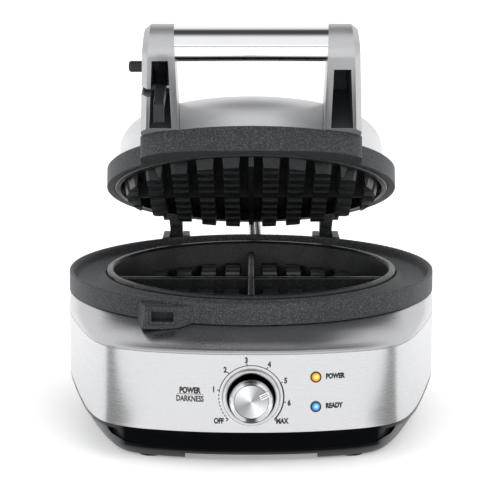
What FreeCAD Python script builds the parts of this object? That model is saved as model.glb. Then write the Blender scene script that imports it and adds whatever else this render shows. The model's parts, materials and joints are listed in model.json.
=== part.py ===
import FreeCAD, Part
import math
import os

V = FreeCAD.Vector
os.makedirs("parts", exist_ok=True)

# Waffle maker, lid open. Millimetres, +Z up, the front faces -Y, the feet stand on Z = 0.
# The waffle plates are centred on X = 0, Y = 0 while the parts are drawn.
# Every part is then moved by RING_CENTRE_Y so that the row's origin is under the middle of the box.
RING_CENTRE_Y = 9.5
# The feet stand below the level that heights are drawn from, so every part is lifted by this too.
LIFT = 2.5

# ---- heights of the base ----
FOOT_BOTTOM = -2.5
TRAY_BOTTOM = -1.3
BAND_BOTTOM = 21.4
BAND_ARCH = 10.0
BAND_TOP = 74.6
SHOULDER_BOTTOM = 74.9
SHOULDER_TOP = 88.6
RING_TOP = 104.0

# ---- lower plate ----
BOWL_FLOOR = 76.5
PLATE_RIM_R = 105.8
TOOTH_HEIGHT = 12.0
TOOTH_PITCH = 18.3
TOOTH_FIRST = 13.97
TOOTH_TIP_HALF = 5.3
TOOTH_ROOT_HALF = 6.7
TEETH_PER_SIDE = 5
DIVIDER_TOP = 96.0
DIVIDER_WIDTH = 4.8

# ---- moat ring and latch pocket ----
MOAT_R = 132.5
POCKET_X = (-67.6, -52.5)
POCKET_Z = (90.3, 97.5)
POCKET_FRONT_Y = -128.5

# ---- hinge ----
HINGE_Y = 139.0
HINGE_Z = 99.0
HINGE_X = 59.0
HINGE_PIN_R = 2.5
LEAD_CENTRE = 2.2
LEAD_X = (-0.2, 4.6)
RUNNING_GAP = 0.06
LID_OPEN_DEG = 22.98

# ---- lid, drawn closed ----
UPPER_FLOOR = 109.7
UPPER_TIP = 97.7
UPPER_LIP_R = 99.6
LID_RING_R = 105.5
LID_RING_BOTTOM = 104.7
LID_RING_TOP = 119.2
BLOCK_HALF = 77.0
BLOCK_TOP = 120.4
BLOCK_CROWN = 1.9
DOME_R = 96.5
DOME_TOP = 152.4
DOME_SHOULDER_R = 19.0
DOME_WALL = 1.5

# ---- handle, drawn closed ----
TUBE_Y = -162.0
TUBE_Z = 164.5
TUBE_R = 11.7
TUBE_WALL = 1.5
TUBE_HALF = 54.2
BOSS_R = 13.6
ARM_INNER_X = 50.4
ARM_BEVEL = 3.4
PIVOT_Y = -134.5
PIVOT_Z = 143.5
LATCH_OUT_DEG = 58.0
LEVER_X = (-64.1, -57.2)
PEG_Y = -143.9
PEG_Z = 160.0
PEG_R = 3.85
HOOK_Z = 94.0

# ---- front panel ----
KNOB_Z = 45.7
KNOB_R = 14.5
KNOB_DISC_R = 11.4
BEZEL_R = 19.5
BEZEL_INNER_R = 14.9
LAMP_X = 43.1
LAMP_Z = (58.8, 38.5)
LAMP_R = 2.9
POINTER_DEG = 63.6

# Plan outline of the body, right half, from the front centre to the rear centre.
OUTLINE_HALF = [
    (0.0, -158.0),
    (31.0, -156.4),
    (60.0, -151.0),
    (82.0, -143.6),
    (97.5, -132.5),
    (108.0, -114.0),
    (117.0, -86.0),
    (125.5, -52.0),
    (131.0, -24.0),
    (133.0, 4.0),
    (130.5, 34.0),
    (121.0, 66.0),
    (106.0, 96.0),
    (86.0, 118.0),
    (60.0, 133.5),
    (30.0, 140.5),
    (0.0, 142.5),
]


def save(name, shape):
    moved = shape.copy()
    moved.translate(V(0, RING_CENTRE_Y, LIFT))
    moved.exportStep("parts/" + name + ".step")


# ---------- outlines ----------

def outline_points():
    right = OUTLINE_HALF
    left = [(-x, y) for x, y in reversed(OUTLINE_HALF[1:-1])]
    return right + left


def normals(points):
    out = []
    n = len(points)
    for i in range(n):
        ax, ay = points[i - 1]
        bx, by = points[(i + 1) % n]
        tx, ty = bx - ax, by - ay
        length = math.hypot(tx, ty)
        out.append((ty / length, -tx / length))
    return out


def offset_outline(offset):
    points = outline_points()
    return [(x + offset * nx, y + offset * ny)
            for (x, y), (nx, ny) in zip(points, normals(points))]


def spline_wire(points, z):
    curve = Part.BSplineCurve()
    curve.interpolate([V(x, y, z) for x, y in points], PeriodicFlag=True)
    return Part.Wire(curve.toShape())


def outline_wire(offset, z):
    return spline_wire(offset_outline(offset), z)


def outline_solid(offset, z0, z1):
    face = Part.Face(outline_wire(offset, z0))
    return face.extrude(V(0, 0, z1 - z0))


def circle_points(radius):
    out = []
    for x, y in outline_points():
        length = math.hypot(x, y)
        out.append((radius * x / length, radius * y / length))
    return out


def blend_wire(offset, radius, share, z):
    mixed = []
    for (ax, ay), (bx, by) in zip(offset_outline(offset), circle_points(radius)):
        mixed.append((ax + share * (bx - ax), ay + share * (by - ay)))
    return spline_wire(mixed, z)


# ---------- small builders ----------

def box(x0, x1, y0, y1, z0, z1):
    return Part.makeBox(x1 - x0, y1 - y0, z1 - z0, V(x0, y0, z0))


def cyl_x(radius, x0, x1, y, z):
    return Part.makeCylinder(radius, x1 - x0, V(x0, y, z), V(1, 0, 0))


def cyl_y(radius, y0, y1, x, z):
    return Part.makeCylinder(radius, y1 - y0, V(x, y0, z), V(0, 1, 0))


def cyl_z(radius, z0, z1, x, y):
    return Part.makeCylinder(radius, z1 - z0, V(x, y, z0), V(0, 0, 1))


def prism_x(points, x0, x1):
    ring = [V(x0, y, z) for y, z in points]
    face = Part.Face(Part.makePolygon(ring + ring[:1]))
    return face.extrude(V(x1 - x0, 0, 0))


def prism_z(points, z0, z1):
    ring = [V(x, y, z0) for x, y in points]
    face = Part.Face(Part.makePolygon(ring + ring[:1]))
    return face.extrude(V(0, 0, z1 - z0))


def revolve_z(points):
    ring = [V(r, 0, z) for r, z in points]
    face = Part.Face(Part.makePolygon(ring + ring[:1]))
    return face.revolve(V(0, 0, 0), V(0, 0, 1), 360)


def revolve_edges_z(edges):
    face = Part.Face(Part.Wire(edges))
    return face.revolve(V(0, 0, 0), V(0, 0, 1), 360)


def revolve_y(points, x, z):
    ring = [V(x + r, y, z) for r, y in points]
    face = Part.Face(Part.makePolygon(ring + ring[:1]))
    return face.revolve(V(x, 0, z), V(0, 1, 0), 360)


def line(a, b):
    return Part.makeLine(V(a[0], 0, a[1]), V(b[0], 0, b[1]))


def arc(a, b, c):
    return Part.Arc(V(a[0], 0, a[1]), V(b[0], 0, b[1]), V(c[0], 0, c[1])).toShape()


def curve_through(points):
    curve = Part.BSplineCurve()
    curve.interpolate([V(r, 0, z) for r, z in points])
    return curve.toShape()


def fuse(shapes):
    out = shapes[0].multiFuse(shapes[1:])
    return out.removeSplitter()


def mirror_x(shape):
    return shape.mirror(V(0, 0, 0), V(1, 0, 0))


def open_lid(shape):
    turned = shape.copy()
    turned.rotate(V(0, HINGE_Y, HINGE_Z), V(-1, 0, 0), LID_OPEN_DEG)
    return turned


def swing_latch(shape):
    turned = shape.copy()
    turned.rotate(V(0, PIVOT_Y, PIVOT_Z), V(-1, 0, 0), LATCH_OUT_DEG)
    return turned


# ---------- base shell ----------

def arch_curve(drop):
    points = [(-200, 0), (-112, 0), (-92, 0.9), (-70, 3.6), (-46, 7.2), (-22, 9.5), (0, 10.0)]
    scale = BAND_ARCH / 10.0
    left = [(y, BAND_BOTTOM - drop + scale * z) for y, z in points]
    right = [(-y, z) for y, z in reversed(left[:-1])]
    return left + right


def below_arch(drop, floor):
    points = arch_curve(drop)
    return prism_x(points + [(200, floor), (-200, floor)], -200, 200)


def outer_band():
    shell = outline_solid(0, BAND_BOTTOM, BAND_TOP).cut(outline_solid(-1.2, 0, 90))
    shell = shell.cut(below_arch(0, -10))
    shell = shell.cut(cyl_y(BEZEL_R + 0.1, -170, -140, 0, KNOB_Z))
    for z in LAMP_Z:
        shell = shell.cut(cyl_y(LAMP_R + 0.85, -165, -140, LAMP_X, z))
    shell = shell.cut(cyl_y(8.1, 130, 160, 0, 40))
    return shell


TRAY_OUTER = [(-16.2, TRAY_BOTTOM), (-14.4, -0.2), (-12.4, 1.8), (-10.6, 4.4), (-8.9, 7.2),
              (-6.7, 11.0), (-4.5, 15.5), (-2.7, 19.5), (-1.6, 24.0), (-1.6, 34.0)]
TRAY_INNER = [(-20.7, 5.0), (-17.8, 5.7), (-15.2, 6.8), (-13.6, 7.8), (-12.1, 9.2),
              (-9.8, 12.3), (-7.7, 16.1), (-5.9, 19.9), (-4.8, 24.0), (-4.8, 34.0)]


def tray_sections(table):
    return [outline_wire(offset, z) for offset, z in table]


def front_scoop(depth, grow):
    # the shaped recess along the front of the tray, grown all round for the wall behind it
    ring = outline_solid(12, 6.0 - grow, 18.6 + grow)
    ring = ring.cut(outline_solid(-depth, 5.0 - grow, 20.0 + grow))
    points = [(-100 - grow, 18.6 + grow), (100 + grow, 18.6 + grow), (96 + grow, 12.5), (86, 8.2 - grow),
              (60, 6.4 - grow), (-60, 6.4 - grow), (-86, 8.2 - grow), (-96 - grow, 12.5)]
    window = [V(x, -175, z) for x, z in points]
    face = Part.Face(Part.makePolygon(window + window[:1]))
    return ring.common(face.extrude(V(0, 75, 0)))


def base_tray():
    outer = Part.makeLoft(tray_sections(TRAY_OUTER), True, True)
    inner = Part.makeLoft(tray_sections(TRAY_INNER), True, True)
    liner = front_scoop(11.6, 2.4).common(outer)
    lip = outline_solid(-0.15, 15, 34).cut(outline_solid(-3.0, 10, 40))
    lip = lip.common(below_arch(0.15, -10)).cut(below_arch(2.5, -10))
    tray = fuse([outer.cut(inner), liner, lip])
    tray = tray.cut(front_scoop(9.0, 0))
    tray = tray.cut(box(-45, 45, -200, 200, -5, 2.7))
    tray = tray.cut(box(-200, 200, -62, 62, -5, 2.7))
    # room behind the band for the bezel, the lower lamp and the cord gland
    tray = tray.cut(box(-22, 50, -175, -140, 25.6, 40))
    tray = tray.cut(box(-12, 12, 130, 150, 28.6, 40))
    for x in (-30, -20, -10, 0, 10, 20, 30):
        tray = tray.cut(box(x - 1.6, x + 1.6, -60, -20, -2, 12))
    posts = []
    for x, y in FOOT_SPOTS:
        tray = tray.cut(cyl_z(3.05, -5, 12, x, y))
    for x, y in SCREW_SPOTS:
        posts.append(cyl_z(5.0, 3.4, 30, x, y))
    tray = fuse([tray] + posts)
    for x, y in SCREW_SPOTS:
        tray = tray.cut(cyl_z(1.75, -2, 40, x, y))
        tray = tray.cut(cyl_z(3.6, -5, 6.6, x, y))
    return tray


FOOT_SPOTS = [(-68, -122), (68, -122), (-64, 104), (64, 104)]
SCREW_SPOTS = [(-88, -80), (88, -80), (-84, 70), (84, 70)]


def rubber_foot(x, y):
    pad = cyl_z(9.0, FOOT_BOTTOM, TRAY_BOTTOM - 0.05, x, y)
    pad = pad.makeFillet(0.4, [e for e in pad.Edges if abs(e.BoundBox.ZMax - FOOT_BOTTOM) < 0.01])
    stem = cyl_z(3.0, TRAY_BOTTOM - 0.2, 6.5, x, y)
    return fuse([pad, stem])


def base_screw(x, y):
    head = cyl_z(3.3, 4.0, 6.4, x, y)
    shank = cyl_z(1.7, 6.0, 26, x, y)
    screw = fuse([head, shank])
    slot = box(x - 2.2, x + 2.2, y - 0.45, y + 0.45, 3.0, 5.2)
    cross = box(x - 0.45, x + 0.45, y - 2.2, y + 2.2, 3.0, 5.2)
    return screw.cut(slot).cut(cross)


def shoulder_sections(inset, drop):
    table = [
        (0.000, SHOULDER_BOTTOM),
        (0.015, 75.9),
        (0.045, 77.0),
        (0.090, 78.1),
        (0.150, 79.2),
        (0.220, 80.2),
        (0.310, 81.3),
        (0.420, 82.5),
        (0.600, 84.4),
        (0.800, 86.5),
        (1.000, SHOULDER_TOP),
    ]
    wires = []
    for share, z in table:
        wires.append(blend_wire(-inset, 131.9 - inset, share, z - drop))
    return wires


def shoulder_cover():
    outer = Part.makeLoft(shoulder_sections(0, 0), True, True)
    inner = Part.makeLoft(shoulder_sections(1.4, 1.4), True, True)
    below = outline_solid(-1.4, 60, SHOULDER_BOTTOM)
    cover = outer.cut(inner).cut(below)
    cover = cover.cut(cyl_z(124.0, 70, 100, 0, 0))
    skirt = outline_solid(-1.35, 68, 76.4).cut(outline_solid(-2.6, 60, 90))
    cover = fuse([cover, skirt])
    hole = cyl_z(4.8, 60, 110, -3.4, 137.6).fuse(cyl_z(4.8, 60, 110, 3.4, 137.6))
    hole = hole.fuse(box(-3.4, 3.4, 132.8, 142.4, 60, 110))
    hole.translate(V(LEAD_CENTRE, 0, 0))
    return cover.cut(hole)


# ---------- moat ring and latch pocket ----------

def moat_ring():
    top = [(130.9, RING_TOP), (129.4, 102.7), (127.2, 98.9), (122.0, 95.4),
           (115.0, 95.0), (109.8, 97.9), (106.5, 101.2)]
    profile = [
        curve_through(top),
        line((106.5, 101.2), (106.5, 96.8)),
        line((106.5, 96.8), (102.4, 96.8)),
        line((102.4, 96.8), (102.4, 94.6)),
        line((102.4, 94.6), (109.0, 93.6)),
        line((109.0, 93.6), (116.0, 91.4)),
        line((116.0, 91.4), (124.0, 91.6)),
        line((124.0, 91.6), (129.6, 94.0)),
        line((129.6, 94.0), (129.6, 89.0)),
        line((129.6, 89.0), (132.2, 89.0)),
        line((132.2, 89.0), (MOAT_R, 89.4)),
        line((MOAT_R, 89.4), (MOAT_R, 102.9)),
        arc((MOAT_R, 102.9), (132.1, 103.75), (130.9, RING_TOP)),
    ]
    ring = revolve_edges_z(profile)
    ring = fuse([ring, latch_block().cut(cyl_z(128.9, 80, 110, 0, 0))])
    pocket = box(POCKET_X[0], POCKET_X[1], -140, POCKET_FRONT_Y + 9.5, POCKET_Z[0], POCKET_Z[1])
    ring = ring.cut(pocket).cut(pocket_frame())
    for x in (-HINGE_X, HINGE_X):
        ring = ring.cut(cyl_y(1.75, 100, 125, x, 93.4))
    return ring


def latch_block():
    low = [(-73.5, POCKET_FRONT_Y), (-48.0, POCKET_FRONT_Y - 1.5), (-39.5, -125.6),
           (-43.0, -118.0), (-80.0, -98.0), (-79.0, -105.5)]
    high = [(-71.5, POCKET_FRONT_Y + 0.6), (-50.0, POCKET_FRONT_Y - 0.9), (-39.5, -126.0),
            (-43.0, -118.0), (-78.0, -100.0), (-76.6, -107.5)]
    low_wire = Part.makePolygon([V(x, y, 85.6) for x, y in low + low[:1]])
    high_wire = Part.makePolygon([V(x, y, 100.8) for x, y in high + high[:1]])
    block = Part.makeLoft([low_wire, high_wire], True, True)
    return block.cut(outline_shoulder_keepout())


def pocket_frame():
    # shallow step round the pocket's mouth
    points = [(-69.8, -135), (-50.2, -135), (-50.2, -128.5), (-69.8, -127.3)]
    return prism_z(points, 88.4, 99.2)


def outline_shoulder_keepout():
    grown = Part.makeLoft(shoulder_sections(-0.35, -0.35), True, True)
    return fuse([grown, cyl_z(100, 60, 89.0, 0, 0)])


# ---------- waffle plates ----------

def tooth(cx, cy, root_z, tip_z):
    def square(half, z):
        corners = [(cx - half, cy - half), (cx + half, cy - half),
                   (cx + half, cy + half), (cx - half, cy + half)]
        return Part.makePolygon([V(x, y, z) for x, y in corners + corners[:1]])
    grow = (TOOTH_ROOT_HALF - TOOTH_TIP_HALF) / TOOTH_HEIGHT
    root_half = TOOTH_TIP_HALF + grow * abs(tip_z - root_z)
    return Part.makeLoft([square(root_half, root_z), square(TOOTH_TIP_HALF, tip_z)], True, True)


def teeth(root_z, tip_z, keep):
    grid = []
    for i in range(TEETH_PER_SIDE):
        grid.append(TOOTH_FIRST + i * TOOTH_PITCH)
    found = []
    for ax in grid:
        for ay in grid:
            near = math.hypot(ax - TOOTH_ROOT_HALF, ay - TOOTH_ROOT_HALF)
            if near > 88.0:
                continue
            for sx in (-1, 1):
                for sy in (-1, 1):
                    block = tooth(sx * ax, sy * ay, root_z, tip_z)
                    far = math.hypot(ax + TOOTH_ROOT_HALF, ay + TOOTH_ROOT_HALF)
                    if far > 89.0:
                        block = block.common(keep)
                    found.append(block)
    return found


def lower_plate():
    profile = [
        line((0, BOWL_FLOOR), (92.4, BOWL_FLOOR)),
        arc((92.4, BOWL_FLOOR), (94.6, 77.4), (95.6, 79.6)),
        line((95.6, 79.6), (100.2, 101.9)),
        arc((100.2, 101.9), (101.1, 103.4), (102.8, RING_TOP)),
        arc((102.8, RING_TOP), (105.0, 103.3), (PLATE_RIM_R, 101.4)),
        line((PLATE_RIM_R, 101.4), (PLATE_RIM_R, 97.1)),
        line((PLATE_RIM_R, 97.1), (101.9, 97.1)),
        line((101.9, 97.1), (97.6, 75.5)),
        line((97.6, 75.5), (95.0, 73.0)),
        line((95.0, 73.0), (0, 73.0)),
        line((0, 73.0), (0, BOWL_FLOOR)),
    ]
    bowl = revolve_edges_z(profile)
    keep = Part.makeCone(93.4, 92.2, 16, V(0, 0, BOWL_FLOOR - 1))
    room = Part.makeCone(95.2, 100.6, 28, V(0, 0, BOWL_FLOOR - 1))
    solids = [bowl]
    solids += teeth(BOWL_FLOOR - 0.6, BOWL_FLOOR + TOOTH_HEIGHT, keep)
    half = DIVIDER_WIDTH / 2.0
    profile_x = [(-101, 75.6), (101, 75.6), (101, DIVIDER_TOP), (-101, DIVIDER_TOP)]
    wall = prism_x([(a, z) for a, z in profile_x], -half, half)
    crossing = wall.copy()
    crossing.rotate(V(0, 0, 0), V(0, 0, 1), 90)
    walls = []
    for item in (wall, crossing):
        top = [e for e in item.Edges if e.BoundBox.ZMin > DIVIDER_TOP - 0.01 and e.Length > 150]
        walls.append(item.makeFillet(1.6, top).common(room))
    solids += walls
    for angle in (90, 210, 330):
        x = 80 * math.cos(math.radians(angle))
        y = 80 * math.sin(math.radians(angle))
        solids.append(cyl_z(3.9, 62.25, 73.5, x, y))
    plate = fuse(solids)
    for angle in (90, 210, 330):
        x = 80 * math.cos(math.radians(angle))
        y = 80 * math.sin(math.radians(angle))
        plate = plate.cut(cyl_z(2.05, 60, 72.0, x, y))
    return plate


def upper_plate():
    profile = [
        line((0, UPPER_FLOOR), (92.5, UPPER_FLOOR)),
        line((92.5, UPPER_FLOOR), (95.4, 104.4)),
        line((95.4, 104.4), (95.9, 104.05)),
        line((95.9, 104.05), (98.9, 104.05)),
        line((98.9, 104.05), (UPPER_LIP_R, 104.75)),
        line((UPPER_LIP_R, 104.75), (UPPER_LIP_R, 108.0)),
        line((UPPER_LIP_R, 108.0), (97.2, 109.0)),
        line((97.2, 109.0), (95.5, 113.0)),
        line((95.5, 113.0), (0, 113.0)),
        line((0, 113.0), (0, UPPER_FLOOR)),
    ]
    disc = revolve_edges_z(profile)
    keep = Part.makeCone(90.6, 94.4, 15, V(0, 0, UPPER_TIP - 1.5))
    solids = [disc]
    solids += teeth(UPPER_FLOOR + 0.6, UPPER_TIP, keep)
    rib = box(-1.8, 1.8, -92.5, 92.5, 98.9, UPPER_FLOOR + 0.6)
    across = box(-92.5, 92.5, -1.8, 1.8, 98.9, UPPER_FLOOR + 0.6)
    room = Part.makeCone(89.0, 94.6, 13, V(0, 0, 98.0))
    solids += [rib.common(room), across.common(room)]
    for angle in (30, 150, 270):
        x = 80 * math.cos(math.radians(angle))
        y = 80 * math.sin(math.radians(angle))
        solids.append(cyl_z(3.9, 112.5, 124.8, x, y))
    plate = fuse(solids)
    for angle in (30, 150, 270):
        x = 80 * math.cos(math.radians(angle))
        y = 80 * math.sin(math.radians(angle))
        plate = plate.cut(cyl_z(2.05, 114.0, 130, x, y))
    return plate


def element(z, turn):
    ring = Part.makeTorus(62, 3.6, V(0, 0, z))
    gap = box(-9, 9, 40, 80, z - 6, z + 6)
    ring = ring.cut(gap)
    tails = []
    for side in (-1, 1):
        x = side * 11.0
        y = math.sqrt(62.0 ** 2 - x ** 2)
        tails.append(cyl_y(3.4, y - 2.0, y + 14.0, x, z))
    solid = fuse([ring] + tails)
    solid.rotate(V(0, 0, 0), V(0, 0, 1), turn)
    return solid


def reflector(z, depth, rim, hole_angles, up):
    s = 1 if up else -1
    points = [(0, z), (84, z), (rim - 2, z + s * depth), (rim, z + s * depth),
              (rim, z + s * (depth - 0.9)), (rim - 1.5, z + s * (depth - 0.9)),
              (85, z - s * 0.9), (0, z - s * 0.9)]
    pan = revolve_z(points)
    for angle in hole_angles:
        x = 80 * math.cos(math.radians(angle))
        y = 80 * math.sin(math.radians(angle))
        pan = pan.cut(cyl_z(2.3, z - 4, z + 4, x, y))
    return pan


def plate_screw(angle, head_z, up):
    x = 80 * math.cos(math.radians(angle))
    y = 80 * math.sin(math.radians(angle))
    if up:
        head = cyl_z(3.6, head_z - 2.2, head_z, x, y)
        shank = cyl_z(2.0, head_z - 0.5, head_z + 9.0, x, y)
    else:
        head = cyl_z(3.6, head_z, head_z + 2.2, x, y)
        shank = cyl_z(2.0, head_z - 9.0, head_z + 0.5, x, y)
    return fuse([head, shank])


# ---------- lid ----------

def block_front():
    half = [(0, -110.6), (20, -110.3), (38, -109.2), (52, -106.8), (62, -103.4), (70, -98.4),
            (BLOCK_HALF, -90.0)]
    left = [(-x, y) for x, y in reversed(half)]
    return left + half[1:]


def lid_ring():
    points = [(100.1, LID_RING_BOTTOM), (105.1, LID_RING_BOTTOM), (LID_RING_R, 105.1),
              (LID_RING_R, 118.4), (104.7, LID_RING_TOP), (90.0, LID_RING_TOP), (90.0, 116.6),
              (100.1, 116.6)]
    ring = revolve_z(points)
    curve = Part.BSplineCurve()
    curve.interpolate([V(x, y, LID_RING_BOTTOM) for x, y in block_front()])
    front = curve.toShape()
    a = V(-BLOCK_HALF, -90.0, LID_RING_BOTTOM)
    b = V(-BLOCK_HALF, -60.0, LID_RING_BOTTOM)
    c = V(BLOCK_HALF, -60.0, LID_RING_BOTTOM)
    d = V(BLOCK_HALF, -90.0, LID_RING_BOTTOM)
    wire = Part.Wire([front, Part.makeLine(d, c), Part.makeLine(c, b), Part.makeLine(b, a)])
    block = Part.Face(wire).extrude(V(0, 0, BLOCK_TOP + BLOCK_CROWN - LID_RING_BOTTOM))
    top = [(-90, 130), (-90, BLOCK_TOP), (-49, BLOCK_TOP)]
    rise = Part.Wire([line(top[0], top[1]), line(top[1], top[2]),
                      arc(top[2], (0, BLOCK_TOP + BLOCK_CROWN), (49, BLOCK_TOP)),
                      line((49, BLOCK_TOP), (90, BLOCK_TOP)), line((90, BLOCK_TOP), (90, 130)),
                      line((90, 130), top[0])])
    rise.translate(V(0, -200, 0))
    block = block.cut(Part.Face(rise).extrude(V(0, 200, 0)))
    block = block.cut(cyl_z(100.1, 100, 116.6, 0, 0))
    block = block.cut(cyl_z(DOME_R + 0.35, LID_RING_TOP, 140, 0, 0))
    block = block.cut(cyl_z(90.0, 100, 140, 0, 0))
    ring = fuse([ring, block])
    for x in (-1, 1):
        ring = ring.cut(box(x * 72 - 9, x * 72 + 9, -76.5, -73.6, 100, 106.4)
                        .cut(cyl_z(100.6, 90, 110, 0, 0)))
    for x in (-HINGE_X, HINGE_X):
        ring = ring.cut(cyl_y(1.75, 82, 100, x, 112.0))
    for x in ARM_SCREW_X:
        for y in ARM_SCREW_Y:
            ring = ring.cut(cyl_z(1.75, 112, 125, x, y))
            ring = ring.cut(cyl_z(1.75, 112, 125, -x, y))
    return ring.cut(lid_lead_hole())


ARM_SCREW_X = [62.0]
ARM_SCREW_Y = [-95.5, -87.0]


def lid_lead_hole():
    holes = cyl_y(4.6, 85, 110, -3.4, 111.6)
    holes = holes.fuse(cyl_y(4.6, 85, 110, 3.4, 111.6))
    holes = holes.fuse(box(-3.4, 3.4, 85, 110, 107.0, 116.2))
    holes.translate(V(LEAD_CENTRE, 0, 0))
    return holes


def dome_profile(radius, top, shoulder, base):
    centre_r = radius - shoulder
    centre_z = top - shoulder
    k = math.sqrt(0.5)
    mid = (centre_r + shoulder * k, centre_z + shoulder * k)
    crown = top + 1.0
    return [
        line((0, base), (radius, base)),
        line((radius, base), (radius, centre_z)),
        arc((radius, centre_z), mid, (centre_r, top)),
        line((centre_r, top), (0, crown)),
        line((0, crown), (0, base)),
    ]


def crown_curve(flat, top):
    # slight crown, level where it meets the shoulder and at the centre
    shares = [1.0, 0.85, 0.7, 0.5, 0.3, 0.15, 0.0]
    return curve_through([(flat * k, top + 0.5 + 0.5 * math.cos(math.pi * k)) for k in shares])


def lid_dome():
    k = math.sqrt(0.5)
    base = LID_RING_TOP + 0.05
    r1, s1 = DOME_R, DOME_SHOULDER_R
    r2, s2 = DOME_R - DOME_WALL, DOME_SHOULDER_R - DOME_WALL
    flat = r1 - s1
    z = DOME_TOP - s1
    low = DOME_TOP - DOME_WALL
    profile = [
        line((r1, base), (r1, z)),
        arc((r1, z), (flat + s1 * k, z + s1 * k), (flat, DOME_TOP)),
        crown_curve(flat, DOME_TOP),
        line((0, DOME_TOP + 1.0), (0, low + 1.0)),
        crown_curve(flat, low),
        arc((flat, low), (flat + s2 * k, z + s2 * k), (r2, z)),
        line((r2, z), (r2, base)),
        line((r2, base), (r1, base)),
    ]
    return revolve_edges_z(profile)


def dome_keepout():
    return revolve_edges_z(dome_profile(DOME_R + 0.3, DOME_TOP + 0.3, DOME_SHOULDER_R + 0.3,
                                        LID_RING_TOP - 20))


def hinge_arm():
    # drawn on the left, X = -HINGE_X
    x0, x1 = -HINGE_X - 4.8, -HINGE_X + 4.8
    bar = prism_x([(104.2, 106.2), (117.0, 105.4), (126.0, 105.4), (132.6, 97.0), (139.0, 92.7),
                   (145.3, 99.0), (141.5, 105.0), (134.0, 114.5), (120.0, 117.6),
                   (104.2, 117.6)], x0, x1)
    eye = cyl_x(6.3, x0, x1, HINGE_Y, HINGE_Z)
    plate = box(-HINGE_X - 9, -HINGE_X + 9, 75, 104.5, 106.2, 117.8)
    plate = plate.cut(cyl_z(LID_RING_R + 0.05, 90, 130, 0, 0))
    foot = box(-HINGE_X - 9, -HINGE_X + 9, 84, 97, 106.2, 117.6)
    foot = foot.cut(cyl_z(LID_RING_R + 0.05, 90, 130, 0, 0))
    bar2 = prism_x([(80, 106.2), (110, 106.2), (110, 117.6), (80, 117.6)], x0, x1)
    bar2 = bar2.cut(cyl_z(LID_RING_R + 0.05, 90, 130, 0, 0))
    arm = fuse([bar, eye, plate, foot, bar2])
    return arm.cut(cyl_x(HINGE_PIN_R + RUNNING_GAP, x0 - 1, x1 + 1, HINGE_Y, HINGE_Z))


def hinge_bracket():
    # drawn on the left, X = -HINGE_X
    x = -HINGE_X
    low = [(x - 13.2, 100), (x + 13.2, 100), (x + 12.4, 147), (x - 12.4, 147)]
    high = [(x - 10.4, 100), (x + 10.4, 100), (x + 10.0, 144.5), (x - 10.0, 144.5)]
    a = Part.makePolygon([V(px, py, 89.2) for px, py in low + low[:1]])
    b = Part.makePolygon([V(px, py, 104.6) for px, py in high + high[:1]])
    body = Part.makeLoft([a, b], True, True)
    body = body.cut(cyl_z(MOAT_R + 0.05, 80, 120, 0, 0))
    rear = [(130, 108), (141.0, 108), (146.2, 99.0), (147.5, 85), (160, 85), (160, 120), (130, 120)]
    body = body.cut(prism_x(rear, x - 20, x + 20).cut(box(x - 20, x + 20, 100, 141.0, 80, 130)))
    slot = box(x - 5.1, x + 5.1, 112, 160, 92.0, 120)
    slot = slot.fuse(prism_x([(112, 92.0), (160, 92.0), (160, 88.0), (146, 88.0)], x - 5.1, x + 5.1))
    body = body.cut(slot)
    body = body.cut(outline_shoulder_keepout())
    return body.cut(cyl_x(HINGE_PIN_R + 0.03, x - 20, x + 20, HINGE_Y, HINGE_Z))


def hinge_pin():
    x = -HINGE_X
    pin = cyl_x(HINGE_PIN_R, x - 10.8, x + 10.8, HINGE_Y, HINGE_Z)
    return pin.makeChamfer(0.4, [e for e in pin.Edges if e.BoundBox.XLength < 0.01])


# ---------- handle ----------

def arm_profile():
    # side view of an arm, Y and Z, from the block's front edge round the tube to the dome
    points = [(-109.2, BLOCK_TOP + 0.05)]
    cx, cz = TUBE_Y, TUBE_Z
    first = math.atan2(cz - BLOCK_TOP, cx + 109.2)
    distance = math.hypot(cz - BLOCK_TOP, cx + 109.2)
    spread = math.acos(BOSS_R / distance)
    low = first + math.pi - spread
    rear_y, rear_z = -70.0, 154.8
    second = math.atan2(cz - rear_z, cx - rear_y)
    distance = math.hypot(cz - rear_z, cx - rear_y)
    spread = math.acos(BOSS_R / distance)
    high = second + math.pi + spread
    low = low % (2 * math.pi)
    high = high % (2 * math.pi)
    if high > low:
        high -= 2 * math.pi
    steps = 28
    for i in range(steps + 1):
        a = low + (high - low) * i / steps
        points.append((cx + BOSS_R * math.cos(a), cz + BOSS_R * math.sin(a)))
    points += [(rear_y, rear_z), (rear_y, 140.0), (-62.0, BLOCK_TOP + 0.05)]
    return points


def slot_window():
    # slopes of the slot's side walls, drawn for the left arm
    def ring(x0, x1, z):
        pts = [(x0, -190), (x1, -190), (x1, -60), (x0, -60)]
        return Part.makePolygon([V(x, y, z) for x, y in pts + pts[:1]])
    return Part.makeLoft([ring(-71.4, -54.5, 110), ring(-62.6, -55.9, 180)], True, True)


def arm_side_x(z):
    # the arm's sloping outer face
    return -78.3 + (z - 100.0) * 9.3 / 90.0


def arm_inset(points, depth):
    # the side view drawn smaller by depth along the front, the tube end and the top
    first, second = points[0], points[1]
    length = math.hypot(second[0] - first[0], second[1] - first[1])
    rise = (second[1] - first[1]) / length
    top_a, top_b = points[-4], points[-3]
    length = math.hypot(top_b[0] - top_a[0], top_b[1] - top_a[1])
    run = (top_b[0] - top_a[0]) / length
    small = [(first[0] + depth / rise, first[1])]
    share = (BOSS_R - depth) / BOSS_R
    for y, z in points[1:-3]:
        small.append((TUBE_Y + (y - TUBE_Y) * share, TUBE_Z + (z - TUBE_Z) * share))
    small.append((top_b[0], top_b[1] - depth / run))
    return small + points[-2:]


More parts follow.
